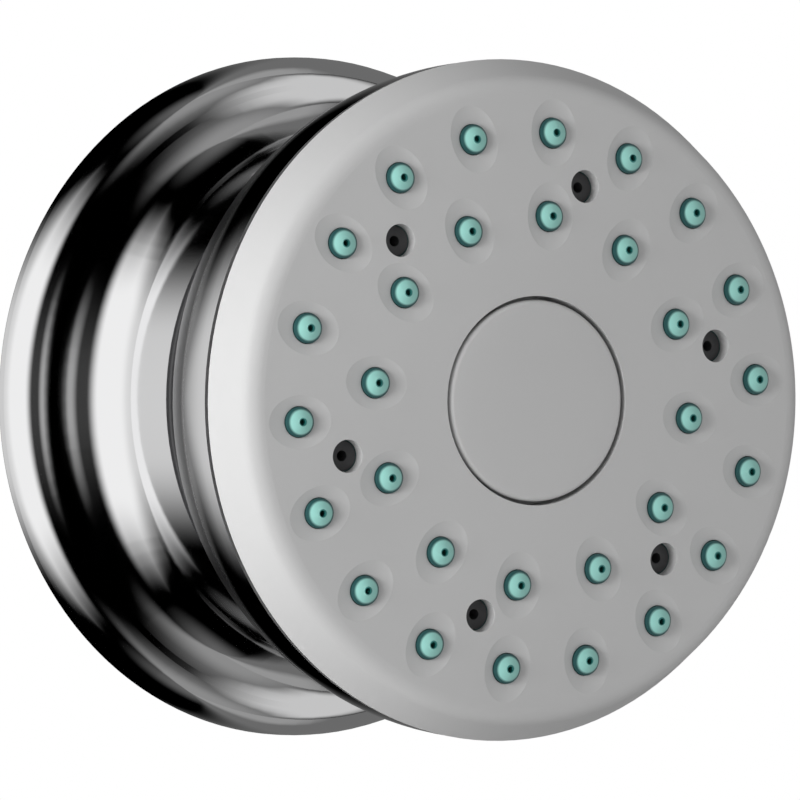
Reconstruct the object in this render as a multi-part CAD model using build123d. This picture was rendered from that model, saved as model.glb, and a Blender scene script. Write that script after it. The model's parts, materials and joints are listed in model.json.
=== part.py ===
from build123d import *
from math import asin, cos, degrees, radians, sin, sqrt, tan
import os

# A swivelling shower body jet: a spool-shaped wall flange with a ball joint inside its waist,
# and a drum-shaped spray head with soft nozzles. Each piece is drawn about the spray axis,
# with heights measured from the wall, and is turned at the end so that it sprays along -Y.

# Driving dimensions, in millimetres and degrees

# Fits
fit_gap = 0.05               # between pieces that seat on each other
running_gap = 0.08           # between round surfaces that slide on each other

# Spray face
projection = 66.8            # wall to the crown of the face
face_diameter = 95.0         # widest circle, at the back edge of the rim
face_height = 9.6            # back edge of the rim to the crown
face_wall = 2.0
rim_angle = 23.0             # slope of the rim from the spray axis
dome_radius = 380.0
edge_round = 3.2             # between the rim and the dome
face_inner_round = 1.2       # the same edge inside the face
skirt_depth = 2.5            # how far the rim reaches over the waterway

# Nozzles and jets
outer_count = 18
inner_count = 12
jet_count = 6
outer_ring_inset = 10.1      # widest circle to the outer nozzle circle
inner_ring_step = 11.65      # outer nozzle circle to the inner one
jet_ring_step = 6.45         # outer nozzle circle to the jet circle
outer_phase = 4.2
inner_phase = -5.8
jet_phase = 14.0
scoop_depth = 0.6
scoop_length_radius = 20.0   # curvature of a scoop's floor along the radius
scoop_width_radius = 12.0    # curvature of a scoop's floor across it
nozzle_radius = 2.1
nozzle_crown = 2.9           # curvature of a nozzle's rounded tip
nozzle_tip_height = 0.85     # tip above the dome
nozzle_bore = 1.1
nozzle_bore_roof = 0.9       # thickness of the soft tip over the bore
orifice_radius = 0.45
nozzle_clearance = 0.1       # nozzle to the edge of its hole in the face
mat_thickness = 1.4
mat_margin = 4.5             # outer nozzle circle to the edge of the mat
jet_well_radius = 2.3
jet_radius = 2.1
jet_depth = 1.9              # jet tip below the dome
jet_orifice = 0.75

# Centre cap and its screw
cap_radius = 14.0
cap_groove = 0.55
cap_thickness = 1.2
cap_edge_round = 0.7
cap_recess_depth = 4.7
cap_skirt = 0.9
cap_snap_height = 1.3
cap_snap_width = 1.0
screw_radius = 2.0
screw_head_radius = 3.6
screw_head_height = 2.4
screw_key = 2.5
screw_key_depth = 1.5
screw_length = 11.0
seal_thickness = 0.8
seal_radius = 4.4
insert_wall = 0.9
insert_length = 9.0

# Head shell and waterway
drum_groove = 1.1            # shadow line between shell and face
drum_depth = 15.9
drum_inset = 0.15            # shell's front edge inside the face's widest circle
drum_bulge = 33.0            # curvature of the drum's side along the axis
drum_edge_round = 3.0
drum_inner_round = 1.0
shell_wall = 2.0
waterway_wall = 2.3
waterway_floor = 2.5
plate_thickness = 2.0
plate_ledge = 1.0            # how far the plate's rim rests on the waterway's wall
plate_hub_thickness = 2.0
plate_step_wall = 2.0
plate_feed_radius = 1.3
seal_ring_section = 0.6      # radius of the face seal's round section
seal_ring_drop = 1.2         # waterway's front edge to the middle of the seal

# Ball joint
ball_centre = 25.5           # height above the wall
ball_radius = 11.0
cup_wall = 2.0
cup_split = 1.2              # each cup's distance from the ball's equator, so that they can tilt apart
cup_slit = 2.0
cup_depth = 6.6
socket_wall = 3.4            # waterway's boss round the ball
socket_thread_length = 10.8
socket_shoulder = 2.0
socket_start = 0.2           # boss end to the ball's equator
throat_radius = 9.0
bulkhead_height = 12.5       # ball centre to the back of the bulkhead
bulkhead_thickness = 3.0
port_count = 6
port_radius = 1.8
port_margin = 0.3            # port to the post
well_wall = 3.0
post_wall = 2.1
nut_wall = 3.0
nut_rear_round = 1.5
nut_opening_margin = 0.3     # nut's rear opening beyond the ball
nut_length_behind = 9.0      # nut's rear end to the ball centre
nut_notch_width = 4.0
nut_notch_depth = 1.2
nut_notch_length = 8.0
nut_notch_count = 6

# Shroud and wall flange
flange_diameter = 96.6
flange_side = 1.15           # straight part of the flange's outer side
back_round = 0.5
flange_cone = 32.5           # slope from the wall where the flange's lip turns into its flare
lip_share = 0.36             # part of the room between flange and waist that the lip's curve takes
flare_share = 0.565          # the same for the hollow flare
flange_skin = 2.4
flange_clearance = 0.3       # flange's back edge off the wall
waist_diameter = 76.0
waist_wall = 1.8
mouth_reach = 4.1            # end of the waist in front of the ball centre
web_height = 4.5
web_thickness = 2.5
web_hole_gap = 0.3
ring_tongue = 0.8
ring_tongue_depth = 3.0
ring_height = 0.8
ring_round = 0.5
ring_inset = 0.3
shroud_gap = 0.4
shroud_wall = 1.6
shroud_reach = 8.5           # shroud's rear edge behind the ball centre
shroud_web = 1.5
gasket_thickness = 1.5
gasket_width = 2.5
gasket_inset = 2.0           # gasket's outer edge inside the flange's edge
gasket_groove_gap = 0.1
gasket_rim = 1.0             # flange's inner rim beside the gasket

# Stem
thread_radius = 10.48        # half-inch parallel pipe thread
spigot_length = 18.0
spigot_chamfer = 1.0
collar_margin = 1.0          # collar beyond the ball, so that nuts pass over it
collar_length = 12.0
neck_radius = 6.25
bore_radius = 4.2
stem_key = 10.0
stem_key_depth = 8.0
ball_flat_margin = 0.4
inlet_recess_radius = 7.5
inlet_recess_depth = 7.0
nose_ring_section = 0.85
nose_ring_setback = 2.0      # spigot's end to the middle of the ring
ring_groove_gap = 0.1
strainer_thickness = 1.0
strainer_hole = 1.2
strainer_hole_circle = 4.4
strainer_holes = 6
limiter_length = 5.0
limiter_radius = 6.2
limiter_orifice = 1.6
limiter_ring_section = 0.75
washer_thickness = 1.0
washer_width = 7.5
lock_nut_thickness = 3.4
lock_nut_flats = 32.0

# Places worked out from the driving dimensions

crown = projection
face_radius = face_diameter / 2
face_back = crown - face_height
dome_centre = crown - dome_radius
outer_ring = face_radius - outer_ring_inset
inner_ring = outer_ring - inner_ring_step
jet_ring = outer_ring - jet_ring_step


def rim_radius(height, inset=0.0):
    """Radius of the face's rim at a height, at a depth below its skin."""
    slope = radians(rim_angle)
    return face_radius - (height - face_back) * tan(slope) - inset / cos(slope)


nozzle_spots = [(outer_ring, outer_phase + turn * 360 / outer_count) for turn in range(outer_count)]
nozzle_spots += [(inner_ring, inner_phase + turn * 360 / inner_count) for turn in range(inner_count)]
jet_spots = [(jet_ring, jet_phase + turn * 360 / jet_count) for turn in range(jet_count)]

mat_top = face_wall + fit_gap
mat_bottom = mat_top + mat_thickness
plate_top = mat_bottom + fit_gap
plate_bottom = plate_top + plate_thickness

cap_hole = cap_radius + cap_groove
cup_outer = cap_hole + face_wall
cap_floor = crown - cap_recess_depth
cap_floor_back = cap_floor - face_wall
plate_hub_top = cap_floor_back - fit_gap
plate_hub_back = plate_hub_top - plate_hub_thickness
post_top = plate_hub_back - fit_gap

spigot_top = face_back + skirt_depth
skirt_bore = rim_radius(spigot_top, face_wall)
waterway_radius = skirt_bore - running_gap
waterway_bore = waterway_radius - waterway_wall
plate_rim = waterway_bore + plate_ledge
plate_step = cup_outer + fit_gap

shell_front = face_back - drum_groove
shell_back = shell_front - drum_depth
shell_radius = face_radius - drum_inset
waterway_inset = shell_wall + fit_gap
floor_back = shell_back + waterway_inset
floor_front = floor_back + waterway_floor

cup_inner_radius = ball_radius + running_gap
cup_outer_radius = cup_inner_radius + cup_wall
socket_radius = cup_outer_radius + running_gap
boss_radius = socket_radius + socket_wall
boss_end = ball_centre + socket_start
boss_shoulder = boss_end + socket_thread_length
shoulder_radius = boss_radius + socket_shoulder
well_radius = boss_radius - well_wall
bulkhead_back = ball_centre + bulkhead_height
bulkhead_front = bulkhead_back + bulkhead_thickness
insert_radius = screw_radius + insert_wall
post_radius = insert_radius + post_wall
port_circle = post_radius + port_margin + port_radius
nut_bore = boss_radius + fit_gap
nut_radius = nut_bore + nut_wall
nut_rear = ball_centre - nut_length_behind
nut_front = boss_shoulder - shroud_web
nut_opening = ball_radius + nut_opening_margin

flange_radius = flange_diameter / 2
waist_radius = waist_diameter / 2
waist_bore = waist_radius - waist_wall
curve_room = (flange_radius - waist_radius) / (1 - sin(radians(flange_cone)))
lip_round = lip_share * curve_room
flare_round = flare_share * curve_room
lip_start = flange_clearance + back_round + flange_side
flange_edge = lip_start + lip_round * tan(radians(45 - flange_cone / 2))
mouth = ball_centre + mouth_reach
shroud_radius = waist_bore - shroud_gap
gasket_outer = flange_radius - gasket_inset
gasket_inner = gasket_outer - gasket_width
flange_inner = gasket_inner - gasket_groove_gap - gasket_rim
collar_radius = ball_radius + collar_margin
web_hole = collar_radius + web_hole_gap
web_front = web_height + web_thickness
washer_front = web_front + washer_thickness
lock_nut_front = washer_front + lock_nut_thickness
nose_ring_centre = thread_radius - ring_groove_gap - nose_ring_section
nose_ring_height = nose_ring_setback - spigot_length
limiter_ring_centre = inlet_recess_radius - fit_gap - limiter_ring_section
limiter_back = strainer_thickness - spigot_length + fit_gap


def flange_cone_height(radius):
    """Height of the flange's conical front at a radius, before its corners are rounded."""
    return flange_edge + (flange_radius - radius) * tan(radians(flange_cone))


# Shapes that several pieces share

def turned(*corners):
    """Solid of revolution from (radius, height) or (radius, height, corner round) corners."""
    eased = []
    for index, (radius, height, *ease) in enumerate(corners):
        corner = Vector(radius, height)
        if not ease:
            eased.append((corner, None, corner))
            continue
        to_last = (Vector(*corners[index - 1][:2]) - corner).normalized()
        to_next = (Vector(*corners[(index + 1) % len(corners)][:2]) - corner).normalized()
        half_angle = radians(to_last.get_angle(to_next) / 2)
        reach = ease[0] / tan(half_angle)
        middle = corner + (to_last + to_next).normalized() * (ease[0] / sin(half_angle) - ease[0])
        eased.append((corner + to_last * reach, middle, corner + to_next * reach))
    edges = []
    for index, (entry, middle, leave) in enumerate(eased):
        edges.append(Line(eased[index - 1][2], entry))
        if middle:
            edges.append(ThreePointArc(entry, middle, leave))
    return revolve(Plane.XZ * make_face(edges), Axis.Z)


def rod(radius, start, end):
    """Cylinder on the spray axis between two heights."""
    return Pos(0, 0, start) * extrude(Circle(radius), amount=end - start)


def tube(outer, inner, start, end):
    """Plain ring on the spray axis."""
    return turned((inner, start), (outer, start), (outer, end), (inner, end))


def ball(radius):
    """Sphere about the centre of the ball joint."""
    return Pos(0, 0, ball_centre) * Sphere(radius)


def dome(inset):
    """Sphere that lies at a depth below the crown of the face."""
    return Pos(0, 0, dome_centre) * Sphere(dome_radius - inset)


def dome_height(radius, inset):
    """Height of that sphere at a radius."""
    return dome_centre + sqrt((dome_radius - inset) ** 2 - radius ** 2)


def on_dome(radius, angle):
    """Place on the dome: x runs outwards, y along the circle and z away from the face."""
    lean = degrees(asin(radius / dome_radius))
    return Rot(0, 0, angle) * Pos(radius, 0, dome_height(radius, 0)) * Rot(0, lean, 0)


def top_circle(solid):
    """Highest full circle among a turned solid's edges."""
    return solid.edges().filter_by(lambda edge: edge.is_closed).sort_by(Axis.Z)[-1]


def face_form(inset, ease):
    """Solid inside the face at a depth below its skin: a cone under the dome, with an eased edge."""
    top = crown + face_wall
    form = turned(
        (0, face_back),
        (rim_radius(face_back, inset), face_back),
        (rim_radius(top, inset), top),
        (0, top),
    )
    form &= dome(inset)
    return fillet(top_circle(form), ease)


def drum_form(inset, ease):
    """Solid inside the drum at a depth below its skin: bulging sides and a flat, eased back."""
    bulge = drum_bulge - inset
    bulge_centre = shell_radius - drum_bulge
    back = shell_back + inset
    depth = shell_front - back
    rear = (bulge_centre + sqrt(bulge ** 2 - depth ** 2), back)
    middle = (bulge_centre + sqrt(bulge ** 2 - (depth / 2) ** 2), back + depth / 2)
    front = (bulge_centre + bulge, shell_front)
    outline = Polyline(front, (0, shell_front), (0, back), rear)
    form = revolve(Plane.XZ * make_face([outline, ThreePointArc(rear, middle, front)]), Axis.Z)
    rear_circle = form.edges().filter_by(lambda edge: edge.is_closed).sort_by(Axis.Z)[0]
    return fillet(rear_circle, ease)


def o_ring(centre_radius, section, height):
    """Round-section seal."""
    return Pos(0, 0, height) * Torus(centre_radius, section)


# Stem and the pieces inside the inlet

def make_ball_stem():
    """Threaded inlet, collar, neck and ball in one turned piece."""
    nose = -spigot_length
    groove_half = nose_ring_section + ring_groove_gap
    groove_floor = nose_ring_centre - nose_ring_section - ring_groove_gap
    stem = turned(
        (bore_radius, nose),
        (thread_radius - spigot_chamfer, nose),
        (thread_radius, nose + spigot_chamfer),
        (thread_radius, nose_ring_height - groove_half),
        (groove_floor, nose_ring_height - groove_half),
        (groove_floor, nose_ring_height + groove_half),
        (thread_radius, nose_ring_height + groove_half),
        (thread_radius, 0),
        (collar_radius, 0),
        (collar_radius, collar_length),
        (neck_radius, collar_length),
        (neck_radius, ball_centre),
        (bore_radius, ball_centre),
    )
    stem += ball(ball_radius)
    key_corner = stem_key / 2 / cos(radians(30))
    flat_height = ball_centre + sqrt(ball_radius ** 2 - (key_corner + ball_flat_margin) ** 2)
    stem -= rod(bore_radius, nose, flat_height)
    stem -= rod(inlet_recess_radius, nose, nose + inlet_recess_depth)
    stem -= rod(ball_radius, flat_height, ball_centre + ball_radius)
    key = extrude(RegularPolygon(stem_key / 2, 6, major_radius=False), amount=stem_key_depth)
    return stem - Pos(0, 0, flat_height - stem_key_depth) * key


def make_inlet_strainer():
    """Perforated disc in the mouth of the inlet."""
    disc = rod(inlet_recess_radius - fit_gap, -spigot_length, strainer_thickness - spigot_length)
    spots = [Pos(0, 0, 0)] + list(PolarLocations(strainer_hole_circle, strainer_holes))
    for spot in spots:
        disc -= spot * rod(strainer_hole, -spigot_length, strainer_thickness - spigot_length)
    return disc


def make_flow_limiter():
    """Puck with one small orifice and a seal groove."""
    middle = limiter_back + limiter_length / 2
    groove_half = limiter_ring_section + ring_groove_gap
    groove_floor = limiter_ring_centre - limiter_ring_section - ring_groove_gap
    return turned(
        (limiter_orifice, limiter_back),
        (limiter_radius, limiter_back),
        (limiter_radius, middle - groove_half),
        (groove_floor, middle - groove_half),
        (groove_floor, middle + groove_half),
        (limiter_radius, middle + groove_half),
        (limiter_radius, limiter_back + limiter_length),
        (limiter_orifice, limiter_back + limiter_length),
    )


# Wall flange

def make_escutcheon():
    """Flange with a rounded lip and a hollow flare, waist and inner web, as one shell."""
    groove_inner = gasket_inner - gasket_groove_gap
    groove_outer = gasket_outer + gasket_groove_gap
    tongue_radius = waist_bore + ring_tongue
    tongue_floor = mouth - ring_tongue_depth
    return turned(
        (web_hole, web_height),
        (waist_bore, web_height),
        (flange_inner, flange_cone_height(flange_inner) - flange_skin),
        (flange_inner, flange_clearance),
        (groove_inner, flange_clearance),
        (groove_inner, gasket_thickness),
        (groove_outer, gasket_thickness),
        (groove_outer, flange_clearance),
        (flange_radius, flange_clearance, back_round),
        (flange_radius, flange_edge, lip_round),
        (waist_radius, flange_cone_height(waist_radius), flare_round),
        (waist_radius, mouth),
        (tongue_radius, mouth),
        (tongue_radius, tongue_floor),
        (waist_bore, tongue_floor),
        (waist_bore, web_front),
        (web_hole, web_front),
    )


def make_mouth_ring():
    """Guide ring pressed into the end of the waist, round the shroud."""
    tongue_radius = waist_bore + ring_tongue - fit_gap
    outer = waist_radius - ring_inset
    return turned(
        (waist_bore, mouth - ring_tongue_depth + fit_gap),
        (tongue_radius, mouth - ring_tongue_depth + fit_gap),
        (tongue_radius, mouth),
        (outer, mouth),
        (outer, mouth + ring_height, ring_round),
        (waist_bore, mouth + ring_height),
    )


def make_lock_nut():
    """Hexagon nut on the collar that holds the flange to the wall."""
    blank = extrude(RegularPolygon(lock_nut_flats / 2, 6, major_radius=False), amount=lock_nut_thickness)
    return Pos(0, 0, washer_front) * blank - rod(collar_radius + fit_gap, washer_front, lock_nut_front)


# Ball joint

def make_cup(start, end):
    """Spherical ring that bears on the ball between two heights."""
    shell = ball(cup_outer_radius) - ball(cup_inner_radius)
    return shell & rod(cup_outer_radius + cup_wall, start, end)


def make_rear_cup():
    """Split ring behind the ball, slit so that it springs over the neck."""
    cup = make_cup(ball_centre - cup_depth, ball_centre - cup_split)
    slit = Box(cup_slit, cup_outer_radius, 2 * cup_outer_radius)
    return cup - Pos(0, -cup_outer_radius / 2, ball_centre) * slit


def make_front_seat():
    """Sealing seat in front of the ball."""
    seat = make_cup(ball_centre + cup_split, ball_centre + cup_outer_radius)
    return seat - rod(throat_radius, ball_centre, ball_centre + 2 * cup_outer_radius)


def make_socket_nut():
    """Ring nut that closes the socket behind the rear cup."""
    nut = turned(
        (nut_opening, nut_rear),
        (nut_radius, nut_rear, nut_rear_round),
        (nut_radius, nut_front),
        (nut_bore, nut_front),
        (nut_bore, ball_centre),
        (nut_opening, ball_centre),
    )
    nut -= ball(socket_radius)
    notch = Box(2 * nut_notch_depth, nut_notch_width, nut_notch_length)
    for spot in PolarLocations(nut_radius, nut_notch_count):
        nut -= Pos(0, 0, nut_rear) * spot * notch
    return nut


# Spray head

def make_waterway():
    """Moulded body: socket boss, bulkhead with ports, centre post and open chamber."""
    body = drum_form(waterway_inset, drum_inner_round)
    body += rod(waterway_radius, shell_front, spigot_top)
    body += turned(
        (0, boss_end),
        (boss_radius, boss_end),
        (boss_radius, boss_shoulder),
        (shoulder_radius, boss_shoulder),
        (shoulder_radius, floor_front),
        (0, floor_front),
    )
    body -= ball(socket_radius)
    body -= rod(throat_radius, ball_centre, bulkhead_back)
    chamber = drum_form(waterway_inset + waterway_wall, drum_inner_round)
    chamber &= rod(waterway_bore, floor_front, shell_front)
    chamber += rod(waterway_bore, shell_front, spigot_top)
    chamber += rod(well_radius, bulkhead_front, floor_front)
    body -= chamber - rod(post_radius, bulkhead_front, post_top)
    body -= rod(insert_radius + fit_gap, post_top - insert_length - fit_gap, post_top)
    for spot in PolarLocations(port_circle, port_count):
        body -= spot * rod(port_radius, bulkhead_back, bulkhead_front)
    groove_half = seal_ring_section + ring_groove_gap
    groove = tube(
        skirt_bore,
        waterway_radius - 2 * seal_ring_section - ring_groove_gap,
        spigot_top - seal_ring_drop - groove_half,
        spigot_top - seal_ring_drop + groove_half,
    )
    return body - groove


def make_head_shell():
    """Drum-shaped outer shell behind the face, with a hole for the waterway's boss."""
    shell = drum_form(0, drum_edge_round) - drum_form(shell_wall, drum_inner_round)
    return shell - rod(shoulder_radius + fit_gap, shell_back, shell_back + shell_wall)


def make_shroud():
    """Spherical cover over the joint, clamped by its web between the nut and the boss."""
    hollow = ball(shroud_radius - shroud_wall) - rod(shroud_radius, nut_front, boss_shoulder)
    shroud = ball(shroud_radius) - hollow
    shroud &= rod(shroud_radius + shroud_wall, ball_centre - shroud_reach, shell_back)
    return shroud - rod(boss_radius + fit_gap, nut_front, boss_shoulder)


def make_distributor_plate():
    """Domed plate that backs the mat, feeds each nozzle and carries the hard jets."""
    plate = turned(
        (screw_radius + nozzle_clearance, plate_hub_back),
        (plate_step + plate_step_wall, plate_hub_back),
        (plate_step + plate_step_wall, spigot_top),
        (plate_rim, spigot_top),
        (plate_rim, crown),
        (plate_step, crown),
        (plate_step, plate_hub_top),
        (screw_radius + nozzle_clearance, plate_hub_top),
    )
    plate &= dome(plate_top)
    inside = tube(waterway_bore - plate_ledge, plate_step + plate_step_wall, spigot_top, crown)
    plate -= inside & dome(plate_bottom)
    for radius, angle in jet_spots:
        jet = Pos(0, 0, -plate_bottom) * extrude(Circle(jet_radius), amount=plate_bottom - jet_depth)
        plate += on_dome(radius, angle) * jet
    drill_depth = 2 * plate_bottom
    holes = [(spot, plate_feed_radius) for spot in nozzle_spots] + [(spot, jet_orifice) for spot in jet_spots]
    for (radius, angle), drill in holes:
        plate -= on_dome(radius, angle) * Pos(0, 0, -drill_depth) * extrude(Circle(drill), amount=drill_depth)
    return plate


def make_nozzle():
    """One soft nozzle above the mat, on its own axis, before it is bored: a post with a rounded tip."""
    root = -(mat_top + mat_bottom) / 2
    post = Pos(0, 0, root) * extrude(Circle(nozzle_radius), amount=nozzle_tip_height - root)
    return post & Pos(0, 0, nozzle_tip_height - nozzle_crown) * Sphere(nozzle_crown)


def make_nozzle_bore():
    """Passage through a nozzle, wide behind and fine at the tip."""
    roof = nozzle_tip_height - nozzle_bore_roof
    return turned(
        (0, -plate_bottom),
        (nozzle_bore, -plate_bottom),
        (nozzle_bore, roof - nozzle_bore + orifice_radius),
        (orifice_radius, roof),
        (orifice_radius, nozzle_tip_height),
        (0, nozzle_tip_height),
    )


def make_nozzle_mat():
    """One soft sheet behind the face that carries every nozzle."""
    mat = tube(outer_ring + mat_margin, plate_step, plate_hub_back, crown)
    mat = (mat & dome(mat_top)) - dome(mat_bottom)
    nozzle = make_nozzle()
    bore = make_nozzle_bore()
    for spot in nozzle_spots:
        mat += on_dome(*spot) * nozzle
    for spot in nozzle_spots:
        mat -= on_dome(*spot) * bore
    for spot in jet_spots:
        jet_hole = extrude(Circle(jet_radius + nozzle_clearance), amount=plate_bottom)
        mat -= on_dome(*spot) * Pos(0, 0, -plate_bottom) * jet_hole
    return mat


def make_scoop():
    """Cutter for one shallow scoop, longer along the radius than across it."""
    axis_height = scoop_length_radius - scoop_depth
    arc_centre = scoop_width_radius - scoop_depth
    half_chord = sqrt(scoop_width_radius ** 2 - (axis_height - arc_centre) ** 2)
    left = (-half_chord, axis_height)
    right = (half_chord, axis_height)
    profile = make_face([ThreePointArc(left, (0, -scoop_depth), right), Line(right, left)])
    return revolve(Plane.YZ * profile, Axis((0, 0, axis_height), (0, 1, 0)))


def make_spray_face():
    """Domed face with a scoop and a hole for each nozzle, jet wells and a recess for the cap."""
    cavity = face_form(face_wall, face_inner_round) & rod(skirt_bore, face_back, crown)
    cavity -= rod(cup_outer, cap_floor_back, crown)
    snap_inner = cap_radius - cap_edge_round - cap_skirt - fit_gap - cap_snap_width
    face = face_form(0, edge_round) - cavity
    face -= turned(
        (0, cap_floor),
        (snap_inner, cap_floor),
        (snap_inner, cap_floor + cap_snap_height),
        (snap_inner + cap_snap_width, cap_floor + cap_snap_height),
        (snap_inner + cap_snap_width, cap_floor),
        (cap_hole, cap_floor),
        (cap_hole, crown),
        (0, crown),
    )
    face -= rod(screw_radius + nozzle_clearance, cap_floor_back, cap_floor)
    scoop = make_scoop()
    well_depth = 2 * face_wall
    nozzle_hole = Pos(0, 0, -well_depth) * extrude(Circle(nozzle_radius + nozzle_clearance), amount=well_depth)
    jet_well = Pos(0, 0, -well_depth) * extrude(Circle(jet_well_radius), amount=2 * well_depth)
    for spot in nozzle_spots:
        face -= on_dome(*spot) * scoop
        face -= on_dome(*spot) * nozzle_hole
    for spot in jet_spots:
        face -= on_dome(*spot) * jet_well
    return face


def make_centre_cap():
    """Flush cap over the screw, with a skirt that snaps round a ridge of the face."""
    skirt_outer = cap_radius - cap_edge_round
    cap = turned(
        (0, crown - cap_thickness),
        (skirt_outer - cap_skirt, crown - cap_thickness),
        (skirt_outer - cap_skirt, cap_floor),
        (skirt_outer, cap_floor),
        (skirt_outer, crown - cap_thickness),
        (cap_radius, crown - cap_thickness),
        (cap_radius, crown + cap_thickness),
        (0, crown + cap_thickness),
    )
    cap &= dome(0)
    return fillet(top_circle(cap), cap_edge_round)


def make_centre_screw():
    """Socket-head screw from the cap's recess into the post."""
    under_head = cap_floor + seal_thickness
    head_top = under_head + screw_head_height
    screw = rod(screw_head_radius, under_head, head_top)
    screw += rod(screw_radius, under_head - screw_length, under_head)
    key = extrude(RegularPolygon(screw_key / 2, 6, major_radius=False), amount=screw_key_depth)
    return screw - Pos(0, 0, head_top - screw_key_depth) * key


# All pieces by name

pieces = {
    "ball_stem": make_ball_stem(),
    "inlet_o_ring": o_ring(nose_ring_centre, nose_ring_section, nose_ring_height),
    "inlet_strainer": make_inlet_strainer(),
    "flow_limiter": make_flow_limiter(),
    "limiter_o_ring": o_ring(limiter_ring_centre, limiter_ring_section, limiter_back + limiter_length / 2),
    "escutcheon": make_escutcheon(),
    "mouth_ring": make_mouth_ring(),
    "flange_gasket": tube(gasket_outer, gasket_inner, 0, gasket_thickness),
    "flange_washer": tube(web_hole + washer_width, web_hole, web_front, washer_front),
    "flange_lock_nut": make_lock_nut(),
    "rear_ball_cup": make_rear_cup(),
    "front_ball_seat": make_front_seat(),
    "socket_nut": make_socket_nut(),
    "swivel_shroud": make_shroud(),
    "head_shell": make_head_shell(),
    "waterway_body": make_waterway(),
    "threaded_insert": tube(insert_radius, screw_radius + fit_gap, post_top - insert_length, post_top),
    "distributor_plate": make_distributor_plate(),
    "nozzle_mat": make_nozzle_mat(),
    "face_o_ring": o_ring(waterway_radius - seal_ring_section, seal_ring_section, spigot_top - seal_ring_drop),
    "spray_face": make_spray_face(),
    "centre_screw": make_centre_screw(),
    "screw_seal": tube(seal_radius, screw_radius + nozzle_clearance, cap_floor, cap_floor + seal_thickness),
    "centre_cap": make_centre_cap(),
}

os.makedirs("parts", exist_ok=True)
for name, piece in pieces.items():
    export_step(Rot(90, 0, 0) * piece, f"parts/{name}.step")
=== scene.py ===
import json
import math

import bmesh
import bpy
from mathutils import Matrix, Vector

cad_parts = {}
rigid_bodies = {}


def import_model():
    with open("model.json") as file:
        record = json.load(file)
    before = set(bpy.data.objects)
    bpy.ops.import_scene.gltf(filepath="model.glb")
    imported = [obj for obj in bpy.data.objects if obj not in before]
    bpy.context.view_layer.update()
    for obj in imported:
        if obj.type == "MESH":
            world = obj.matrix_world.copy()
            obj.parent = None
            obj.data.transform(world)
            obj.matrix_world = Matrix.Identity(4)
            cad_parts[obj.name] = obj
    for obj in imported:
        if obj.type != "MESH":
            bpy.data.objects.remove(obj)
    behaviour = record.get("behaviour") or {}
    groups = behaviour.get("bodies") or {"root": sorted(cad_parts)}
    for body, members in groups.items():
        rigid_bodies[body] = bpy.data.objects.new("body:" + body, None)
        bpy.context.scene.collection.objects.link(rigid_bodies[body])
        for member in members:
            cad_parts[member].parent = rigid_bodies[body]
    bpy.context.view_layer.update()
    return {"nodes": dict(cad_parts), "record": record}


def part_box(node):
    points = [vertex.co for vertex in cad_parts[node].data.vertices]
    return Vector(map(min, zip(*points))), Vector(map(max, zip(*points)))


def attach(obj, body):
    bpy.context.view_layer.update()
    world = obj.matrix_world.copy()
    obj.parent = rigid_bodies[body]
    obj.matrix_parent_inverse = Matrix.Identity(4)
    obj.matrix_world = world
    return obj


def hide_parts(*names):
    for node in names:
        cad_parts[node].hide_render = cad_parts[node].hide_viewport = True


for stray in list(bpy.data.objects):
    bpy.data.objects.remove(stray)

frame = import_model()
nodes = frame["nodes"]
scene = bpy.context.scene
scene.view_settings.view_transform = "Standard"

# camera: seen from the front left, almost level with the spray axis
camera_azimuth = math.radians(-31.27)
camera_elevation = math.radians(0.64)
camera_distance = 2.083
camera_lens = 672.42
camera_sensor = 36.0
camera_clip = (0.05, 30.0)
aim_point = Vector((0.0, -0.056, 0.0))
aim_side = -0.01352

# inlet thread: half-inch parallel pipe thread, along +Y from the wall
thread_pitch = 0.001814
thread_crest = 0.01048
thread_depth = 0.00116
thread_flank = math.radians(27.5)
thread_root = 0.00024
thread_start = 0.0012
thread_end = 0.0155
thread_steps = 48

# thread cutter: how far it stands out of the metal, and its lift at the run-out, in thread depths
cutter_overreach = 0.3
runout_lift = 1.3
runout_turns = 0.5

# smooth shading of the new pieces
weld_distance = 1e-6
sharp_angle = math.radians(25.0)

# nozzles of the silicone mat: how many, the circle they stand on, and the first one's angle in degrees
nozzle_circles = ((18, 0.0374, 4.2), (12, 0.02575, -5.8))
# painted shade on each nozzle: distances from its axis over which the dark round the orifice fades out, and
# the dark down its sides fades in
nozzle_orifice_shade_reach = (0.00050, 0.00066)
nozzle_side_shade_reach = (0.00155, 0.00190)

# chrome, and the painted shade on the back edge of the drum: a dark tone and a rougher finish that fade
# into the polish
chrome_tone = (0.94, 0.94, 0.945)
chrome_roughness = (0.05, 0.09)
lip_painted_shade_tone = (0.16, 0.16, 0.163)
lip_extra_roughness = 0.26
lip_painted_shade_reach = (0.0074, 0.0094)

# stage
stage_segments = 96
floor_height = -0.165
floor_radius = 2.4
floor_tone = (0.90, 0.90, 0.90)
floor_mottle = (0.88, 0.88, 0.88)
floor_roughness = 0.9
floor_glow = 0.4
tent_radius = 2.3
backdrop_strength = 1.0
room_strength = 0.385

# lamps
lamp_target = (0.0, -0.03, 0.0)
key_place = (-1.68, -0.34, 0.04)
key_size = (1.0, 0.9)
key_power = 32.0
fill_place = (0.6, -1.8, 0.6)
fill_size = (1.4, 1.4)
fill_power = 0.7


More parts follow.
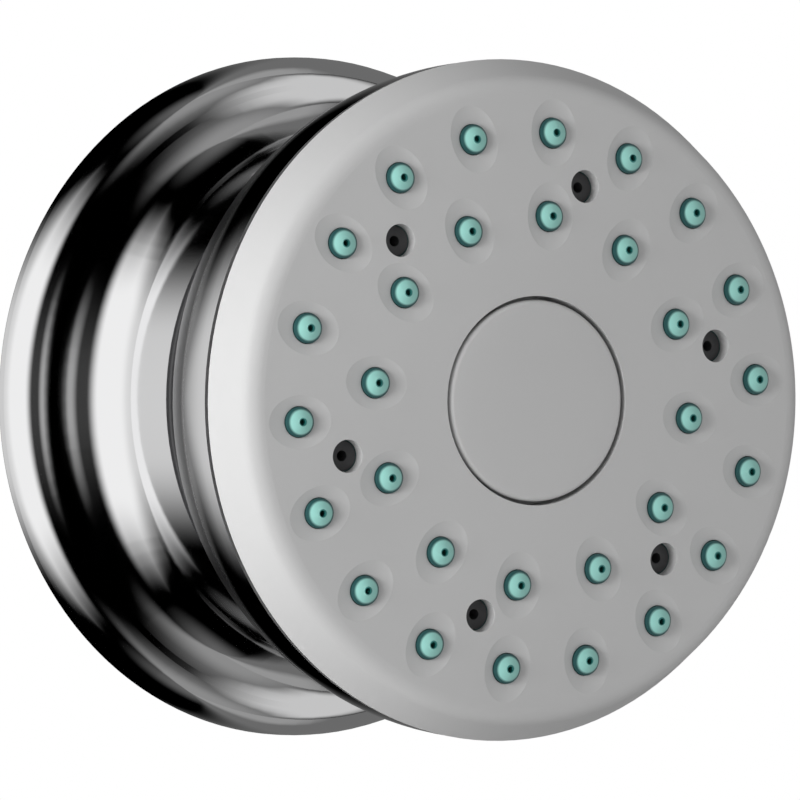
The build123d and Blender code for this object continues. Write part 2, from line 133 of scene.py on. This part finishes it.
# shader building blocks
class Shader:
    """One procedural material: a Principled shader with its detail in object coordinates."""

    def __init__(self, name, colour, roughness, metallic=0.0):
        self.material = bpy.data.materials.new(name)
        self.material.use_nodes = True
        self.tree = self.material.node_tree
        self.base = self.tree.nodes["Principled BSDF"]
        self.set("Base Color", (*colour, 1.0))
        self.set("Roughness", roughness)
        self.set("Metallic", metallic)
        self.material.diffuse_color = (*colour, 1.0)
        self.place = self.node("ShaderNodeTexCoord").outputs["Object"]

    def node(self, kind, **settings):
        made = self.tree.nodes.new(kind)
        for key, value in settings.items():
            setattr(made, key, value)
        return made

    def link(self, start, end):
        self.tree.links.new(start, end)

    def set(self, socket, value):
        self.base.inputs[socket].default_value = value

    def drive(self, socket, source):
        self.link(source, self.base.inputs[socket])

    def axes(self, source):
        """The three coordinates of a vector."""
        parts = self.node("ShaderNodeSeparateXYZ")
        self.link(source, parts.inputs["Vector"])
        return parts.outputs["X"], parts.outputs["Y"], parts.outputs["Z"]

    def noise(self, scale, detail=3.0, rough=0.5, stretch=None):
        place = self.place
        if stretch:
            mapping = self.node("ShaderNodeMapping")
            mapping.inputs["Scale"].default_value = stretch
            self.link(place, mapping.inputs["Vector"])
            place = mapping.outputs["Vector"]
        made = self.node("ShaderNodeTexNoise")
        made.inputs["Scale"].default_value = scale
        made.inputs["Detail"].default_value = detail
        made.inputs["Roughness"].default_value = rough
        self.link(place, made.inputs["Vector"])
        return made.outputs["Fac"]

    def math(self, operation, first, second=None, third=None):
        made = self.node("ShaderNodeMath", operation=operation)
        for socket, value in zip(made.inputs, (first, second, third)):
            if value is None:
                continue
            if isinstance(value, (int, float)):
                socket.default_value = value
            else:
                self.link(value, socket)
        return made.outputs["Value"]

    def length(self, first, second):
        """Length of a flat vector."""
        square = self.math("MULTIPLY", first, first)
        return self.math("SQRT", self.math("MULTIPLY_ADD", second, second, square))

    def span(self, source, low, high, to_low=0.0, to_high=1.0, smooth=False):
        made = self.node("ShaderNodeMapRange")
        made.interpolation_type = "SMOOTHSTEP" if smooth else "LINEAR"
        made.inputs["From Min"].default_value = low
        made.inputs["From Max"].default_value = high
        made.inputs["To Min"].default_value = to_low
        made.inputs["To Max"].default_value = to_high
        self.link(source, made.inputs["Value"])
        return made.outputs["Result"]

    def mix(self, amount, first, second):
        made = self.node("ShaderNodeMix", data_type="RGBA")
        colours = [s for s in made.inputs if s.type == "RGBA"]
        for socket, value in zip(colours, (first, second)):
            if isinstance(value, tuple):
                socket.default_value = (*value, 1.0)
            else:
                self.link(value, socket)
        self.link(amount, made.inputs[0])
        return [s for s in made.outputs if s.type == "RGBA"][0]

    def bump(self, height, distance):
        made = self.node("ShaderNodeBump")
        made.inputs["Distance"].default_value = distance
        made.inputs["Strength"].default_value = 1.0
        self.link(height, made.inputs["Height"])
        self.drive("Normal", made.outputs["Normal"])


def shaded(colour, share):
    return tuple(c * share for c in colour)


# finishes
def polish(made, low, high):
    """Wipe marks in the gloss and a faint waviness; gives the roughness back."""
    made.bump(made.noise(scale=160.0, detail=1.0), distance=0.000004)
    wipe = made.noise(scale=55.0, detail=4.0, rough=0.6)
    return made.span(wipe, 0.35, 0.75, low, high, smooth=True)


def polished(name, colour, low, high):
    """Polished plate."""
    made = Shader(name, colour, low, metallic=1.0)
    made.drive("Roughness", polish(made, low, high))
    return made.material


def shell_with_painted_shade(name, colour, low, high, back):
    """Polished shell whose turned-in edge, from its back on, has painted shade: a dark tone, with a rougher
    finish, fading into the polish.
    """
    made = Shader(name, colour, low, metallic=1.0)
    _, along, _ = made.axes(made.place)
    depth = made.math("SUBTRACT", made.math("MULTIPLY", along, -1.0), back)
    # painted shade: a dark tone on the back edge, fading to the chrome's own colour further forward
    shine = made.span(depth, *lip_painted_shade_reach, smooth=True)
    made.drive("Base Color", made.mix(shine, lip_painted_shade_tone, colour))
    in_painted_shade = made.math("SUBTRACT", 1.0, shine)
    gloss = polish(made, low, high)
    made.drive("Roughness", made.math("MULTIPLY_ADD", in_painted_shade, lip_extra_roughness, gloss))
    return made.material


def turned_metal(name, colour, roughness):
    """Machined metal with faint stains and fine turning rings round the spray axis."""
    made = Shader(name, colour, roughness, metallic=1.0)
    stain = made.noise(scale=140.0)
    made.drive("Base Color", made.mix(made.span(stain, 0.35, 0.7), colour, shaded(colour, 0.72)))
    rings = made.noise(scale=900.0, detail=2.0, stretch=(0.04, 1.0, 0.04))
    made.drive("Roughness", made.span(rings, 0.3, 0.7, roughness * 0.7, roughness * 1.4))
    made.bump(rings, distance=0.00002)
    return made.material


def moulded(name, colour, roughness):
    """Hard plastic with a fine grain from the mould."""
    made = Shader(name, colour, roughness)
    patch = made.noise(scale=90.0)
    made.drive("Base Color", made.mix(made.span(patch, 0.35, 0.7), colour, shaded(colour, 0.86)))
    grit = made.noise(scale=2600.0, detail=2.0)
    made.drive("Roughness", made.span(grit, 0.3, 0.7, roughness * 0.85, roughness * 1.15))
    made.bump(grit, distance=0.00001)
    return made.material


def soft_rubber(name, colour, roughness):
    """Rubber with a dusty bloom."""
    made = Shader(name, colour, roughness)
    made.set("Sheen Weight", 0.15)
    bloom = made.noise(scale=220.0, detail=4.0, rough=0.65)
    dusty = tuple(c * 1.35 + 0.006 for c in colour)
    made.drive("Base Color", made.mix(made.span(bloom, 0.45, 0.75), colour, dusty))
    skin = made.noise(scale=4200.0, detail=2.0)
    made.drive("Roughness", made.span(skin, 0.3, 0.7, roughness * 0.9, min(1.0, roughness * 1.15)))
    made.bump(skin, distance=0.00001)
    return made.material


def foam(name, colour, roughness):
    """Matt foam with dark pores."""
    made = Shader(name, colour, roughness)
    cells = made.node("ShaderNodeTexVoronoi")
    cells.inputs["Scale"].default_value = 2200.0
    made.link(made.place, cells.inputs["Vector"])
    pore = made.span(cells.outputs["Distance"], 0.1, 0.6, smooth=True)
    made.drive("Base Color", made.mix(pore, shaded(colour, 0.5), colour))
    made.bump(cells.outputs["Distance"], distance=0.00015)
    return made.material


def satin(name, colour, roughness):
    """Finely blasted face with a slight metallic shine."""
    made = Shader(name, colour, roughness, metallic=0.15)
    cloud = made.noise(scale=26.0, detail=2.0)
    made.drive("Base Color", made.mix(made.span(cloud, 0.3, 0.7), colour, shaded(colour, 0.96)))
    blast = made.noise(scale=5200.0, detail=2.0, rough=0.6)
    made.drive("Roughness", made.span(blast, 0.3, 0.7, roughness * 0.92, roughness * 1.08))
    made.bump(blast, distance=0.0000035)
    return made.material


def silicone(name, light, orifice_shade, side_shade, low, high):
    """Soft nozzles: pale tips, with painted shade round the orifice and down the sides."""
    made = Shader(name, light, (low + high) / 2)
    made.set("Specular IOR Level", 0.45)
    side, _, up = made.axes(made.place)
    across = made.length(side, up)
    bearing = made.math("DEGREES", made.math("ARCTAN2", up, side))
    distances = []
    for count, circle, phase in nozzle_circles:
        half = 180.0 / count
        turned = made.math("WRAP", made.math("SUBTRACT", bearing, phase), half, -half)
        aside = made.math("MULTIPLY", made.math("RADIANS", turned), circle)
        outward = made.math("SUBTRACT", across, circle)
        distances.append(made.length(outward, aside))
    nearest = made.math("MINIMUM", *distances)
    # painted shade round the orifice, then down the sides, by distance from the nearest nozzle's axis
    tip = made.mix(made.span(nearest, *nozzle_orifice_shade_reach, smooth=True), orifice_shade, light)
    made.drive("Base Color", made.mix(made.span(nearest, *nozzle_side_shade_reach, smooth=True), tip, side_shade))
    skin = made.noise(scale=3600.0, detail=2.0)
    made.drive("Roughness", made.span(skin, 0.3, 0.7, low, high))
    made.bump(skin, distance=0.000006)
    return made.material


teal_tip = (0.36, 0.74, 0.67)
# painted shade: dark round the orifice, and darker still down the nozzles' sides
teal_orifice_shade = (0.03, 0.22, 0.20)
teal_side_shade = (0.025, 0.10, 0.10)

finishes = {
    "chrome": polished("chrome", chrome_tone, *chrome_roughness),
    "satin_face": satin("satin_face", (0.72, 0.72, 0.72), 0.45),
    "teal_silicone": silicone("teal_silicone", teal_tip, teal_orifice_shade, teal_side_shade, 0.32, 0.44),
    "jet_plastic": moulded("jet_plastic", (0.065, 0.065, 0.068), 0.45),
    "ring_plastic": moulded("ring_plastic", (0.05, 0.05, 0.052), 0.4),
    "plated_brass": turned_metal("plated_brass", (0.78, 0.62, 0.33), 0.20),
    "black_rubber": soft_rubber("black_rubber", (0.018, 0.018, 0.019), 0.62),
    "stainless": turned_metal("stainless", (0.62, 0.61, 0.60), 0.28),
    "limiter_plastic": moulded("limiter_plastic", (0.70, 0.72, 0.70), 0.42),
    "gasket_foam": foam("gasket_foam", (0.06, 0.06, 0.063), 0.85),
    "brass": turned_metal("brass", (0.76, 0.56, 0.25), 0.24),
    "cup_plastic": moulded("cup_plastic", (0.80, 0.79, 0.75), 0.4),
    "seat_rubber": soft_rubber("seat_rubber", (0.03, 0.03, 0.032), 0.55),
    "waterway_plastic": moulded("waterway_plastic", (0.045, 0.045, 0.048), 0.5),
}

slot_of = {part["node"]: part["material_slot"] for part in frame["record"]["subparts"]}

for node_name, piece in nodes.items():
    piece.data.materials.clear()
    piece.data.materials.append(finishes[slot_of[node_name]])

drum_back = -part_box("head_shell")[1][1]
# drum chrome with painted shade on its back edge
nodes["head_shell"].data.materials[0] = shell_with_painted_shade("drum_chrome_painted_shade", chrome_tone, *chrome_roughness, drum_back)


# new pieces that stand for CAD nodes
def mesh_of(form, name):
    """A mesh from a finished bmesh form, which is freed."""
    mesh = bpy.data.meshes.new(name)
    form.to_mesh(mesh)
    form.free()
    return mesh


def linked_object(name, data):
    made = bpy.data.objects.new(name, data)
    scene.collection.objects.link(made)
    return made


def stand_in(name, node_name, body, mesh):
    """A new piece with this mesh, shaded smooth between its sharp edges, in a node's place."""
    mesh.shade_smooth()
    mesh.set_sharp_from_angle(angle=sharp_angle)
    mesh.materials.clear()
    mesh.materials.append(finishes[slot_of[node_name]])
    piece = linked_object(name, mesh)
    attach(piece, body)
    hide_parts(node_name)


def welded_mesh(name, node_name):
    """A node's mesh in one skin, without the seams and stored normals of its CAD faces."""
    form = bmesh.new()
    form.from_mesh(nodes[node_name].data)
    bmesh.ops.remove_doubles(form, verts=form.verts, dist=weld_distance)
    mesh = mesh_of(form, name)
    stored_normals = mesh.attributes.get("custom_normal")
    if stored_normals:
        mesh.attributes.remove(stored_normals)
    return mesh


def make_thread_cutter():
    """Helical wedge that cuts the thread's groove and runs out of the metal at the wall."""
    floor = thread_crest - thread_depth
    outside = thread_crest + cutter_overreach * thread_depth
    half_floor = thread_root / 2
    half_outside = half_floor + (outside - floor) * math.tan(thread_flank)
    section = [(floor, -half_floor), (floor, half_floor), (outside, half_outside), (outside, -half_outside)]
    step_count = round((thread_end - thread_start) / thread_pitch * thread_steps)
    form = bmesh.new()
    rings = []
    for step in range(step_count + 1):
        turns = step / thread_steps
        angle = 2 * math.pi * turns
        along = thread_start + thread_pitch * turns
        lift = runout_lift * thread_depth * max(0.0, 1 - turns / runout_turns)
        ring = []
        for radius, offset in section:
            reach = radius + lift
            ring.append(form.verts.new((reach * math.sin(angle), along + offset, reach * math.cos(angle))))
        rings.append(ring)
    for first, second in zip(rings, rings[1:]):
        for corner in range(len(section)):
            after = (corner + 1) % len(section)
            form.faces.new((first[corner], first[after], second[after], second[corner]))
    form.faces.new(rings[0])
    form.faces.new(rings[-1])
    bmesh.ops.recalc_face_normals(form, faces=form.faces)
    return linked_object("thread_cutter", mesh_of(form, "thread_cutter"))


def make_threaded_stem():
    """The stem with its inlet thread cut into the plain spigot."""
    blank = linked_object("stem_blank", welded_mesh("stem_blank", "ball_stem"))
    cutter = make_thread_cutter()
    cut = blank.modifiers.new("thread", "BOOLEAN")
    cut.operation = "DIFFERENCE"
    cut.solver = "EXACT"
    cut.object = cutter
    graph = bpy.context.evaluated_depsgraph_get()
    threaded = bpy.data.meshes.new_from_object(blank.evaluated_get(graph))
    bpy.data.objects.remove(blank)
    bpy.data.objects.remove(cutter)
    stand_in("threaded_stem", "ball_stem", "wall_side", threaded)


def make_plain_cap():
    """The cap in one smooth skin, without the shading spot at the middle of its dome."""
    stand_in("plain_cap", "centre_cap", "head", welded_mesh("plain_cap", "centre_cap"))


# camera
def make_camera():
    level = math.cos(camera_elevation)
    back = Vector(
        (
            math.sin(camera_azimuth) * level,
            -math.cos(camera_azimuth) * level,
            math.sin(camera_elevation),
        )
    )
    right = Vector((math.cos(camera_azimuth), math.sin(camera_azimuth), 0.0))
    up = back.cross(right)
    place = aim_point + right * aim_side + back * camera_distance
    data = bpy.data.cameras.new("camera")
    data.sensor_width = camera_sensor
    data.lens = camera_lens
    data.clip_start, data.clip_end = camera_clip
    camera = linked_object("camera", data)
    turn = Matrix((right, up, back)).transposed().to_4x4()
    camera.matrix_world = Matrix.Translation(place) @ turn
    scene.camera = camera


# stage pieces
def make_floor():
    """Pale round floor: it keeps the shadow, and the camera sees it a little brighter."""
    form = bmesh.new()
    bmesh.ops.create_circle(form, cap_ends=True, segments=stage_segments, radius=floor_radius)
    floor = linked_object("floor", mesh_of(form, "floor"))
    floor.location = (0.0, 0.0, floor_height)
    made = Shader("floor_paint", floor_tone, floor_roughness)
    mottle = made.noise(scale=6.0)
    made.drive("Base Color", made.mix(made.span(mottle, 0.3, 0.7), floor_tone, floor_mottle))
    made.set("Emission Color", (*floor_tone, 1.0))
    path = made.node("ShaderNodeLightPath")
    made.drive("Emission Strength", made.math("MULTIPLY", path.outputs["Is Camera Ray"], floor_glow))
    floor.data.materials.append(made.material)
    floor.visible_glossy = False


def tent_glow(made):
    """How bright the tent is in each direction, from its soft panel and cards."""
    unit = made.node("ShaderNodeVectorMath", operation="NORMALIZE")
    made.link(made.place, unit.inputs[0])
    x, y, z = made.axes(unit.outputs["Vector"])
    # angle round the object: 0 in front of the face, 90 on its left, 180 behind, 270 on its right
    turn = made.math("ARCTAN2", made.math("MULTIPLY", x, -1.0), made.math("MULTIPLY", y, -1.0))
    turn = made.math("DEGREES", turn)
    turn = made.math("ADD", turn, made.math("MULTIPLY", made.math("LESS_THAN", turn, -90.0), 360.0))
    # angle above or below the spray axis
    rise = made.math("ABSOLUTE", made.math("DEGREES", made.math("ARCSINE", z)))

    def card(level, turn_in=None, turn_out=None, rise_in=None, rise_out=None, height=rise):
        """A soft-edged card: its level, and the angles in degrees over which it fades in and out."""
        total = level
        for source, edge, ends in (
            (turn, turn_in, (0.0, 1.0)),
            (turn, turn_out, (1.0, 0.0)),
            (height, rise_in, (0.0, 1.0)),
            (height, rise_out, (1.0, 0.0)),
        ):
            if edge:
                total = made.math("MULTIPLY", made.span(source, *edge, *ends, smooth=True), total)
        return total

    # large soft panel on the left, lower and weaker towards the back
    back_from = 150.0
    panel_level = made.span(turn, 124.0, back_from, to_low=0.90, to_high=0.64, smooth=True)
    past = made.math("MAXIMUM", made.math("SUBTRACT", turn, back_from), 0.0)
    past = made.math("ADD", past, made.span(turn, 120.0, back_from, to_low=0.0, to_high=17.0))
    glow = card(
        panel_level,
        turn_in=(72.0, 90.0),
        turn_out=(144.0, 196.0),
        rise_out=(30.0, 64.0),
        height=made.math("ADD", rise, past),
    )
    cards = (
        # narrow strip beside the camera, with a dim veil between it and the panel
        card(0.36, turn_in=(43.0, 51.0), turn_out=(53.0, 64.0), rise_out=(4.0, 32.0)),
        card(0.045, turn_in=(44.0, 50.0), turn_out=(80.0, 100.0), rise_out=(4.0, 36.0)),
        # grey cards in front on the right, on the right itself, and low behind
        card(0.58, turn_in=(-92.0, -74.0), turn_out=(-48.0, 2.0), rise_out=(60.0, 76.0)),
        card(0.15, turn_in=(198.0, 214.0)),
        card(0.20, turn_in=(158.0, 172.0), turn_out=(190.0, 206.0), rise_out=(8.0, 18.0)),
        # cards above and below: in front, on the right, and all round
        card(0.27, turn_out=(35.0, 66.0), rise_in=(50.0, 82.0)),
        card(0.31, turn_in=(205.0, 245.0), rise_in=(48.0, 66.0)),
        card(0.12, rise_in=(68.0, 90.0)),
    )
    for other in cards:
        glow = made.math("MAXIMUM", glow, other)
    return glow


def make_tent():
    """Studio tent, seen only in reflections: dark cloth with a large soft panel on the left."""
    form = bmesh.new()
    bmesh.ops.create_uvsphere(
        form, u_segments=stage_segments, v_segments=stage_segments // 2, radius=tent_radius
    )
    tent = linked_object("tent", mesh_of(form, "tent"))
    made = Shader("tent_cloth", (0.0, 0.0, 0.0), 1.0)
    made.tree.nodes.remove(made.base)
    light = made.node("ShaderNodeEmission")
    made.link(tent_glow(made), light.inputs["Strength"])
    made.link(light.outputs["Emission"], made.tree.nodes["Material Output"].inputs["Surface"])
    made.material.cycles.emission_sampling = "NONE"
    tent.data.materials.append(made.material)
    tent.visible_camera = False
    tent.visible_diffuse = False
    tent.visible_transmission = False
    tent.visible_shadow = False
    tent.visible_volume_scatter = False


def make_world():
    """White for the camera, reflections and glass, and a dimmer even light for everything else."""
    world = bpy.data.worlds.new("room")
    scene.world = world
    world.use_nodes = True
    tree = world.node_tree
    tree.nodes.clear()
    output = tree.nodes.new("ShaderNodeOutputWorld")
    mix = tree.nodes.new("ShaderNodeMixShader")
    for socket, strength in ((mix.inputs[1], room_strength), (mix.inputs[2], backdrop_strength)):
        shade = tree.nodes.new("ShaderNodeBackground")
        shade.inputs["Strength"].default_value = strength
        shade.inputs["Color"].default_value = (1.0, 1.0, 1.0, 1.0)
        tree.links.new(shade.outputs["Background"], socket)
    path = tree.nodes.new("ShaderNodeLightPath")
    seen = path.outputs["Is Camera Ray"]
    for ray in ("Is Glossy Ray", "Is Transmission Ray"):
        either = tree.nodes.new("ShaderNodeMath")
        either.operation = "MAXIMUM"
        tree.links.new(seen, either.inputs[0])
        tree.links.new(path.outputs[ray], either.inputs[1])
        seen = either.outputs["Value"]
    tree.links.new(seen, mix.inputs["Fac"])
    tree.links.new(mix.outputs["Shader"], output.inputs["Surface"])


def soft_lamp(name, place, size, power):
    """Area lamp aimed at the object, not seen in reflections."""
    data = bpy.data.lights.new(name, "AREA")
    data.shape = "RECTANGLE"
    data.size, data.size_y = size
    data.energy = power
    lamp = linked_object(name, data)
    lamp.location = place
    lamp.rotation_mode = "QUATERNION"
    back = (Vector(place) - Vector(lamp_target)).normalized()
    lamp.rotation_quaternion = back.to_track_quat("Z", "Y")
    lamp.visible_glossy = False


make_threaded_stem()
make_plain_cap()
make_camera()
make_world()
make_floor()
make_tent()
soft_lamp("key_lamp", key_place, key_size, key_power)
soft_lamp("fill_lamp", fill_place, fill_size, fill_power)
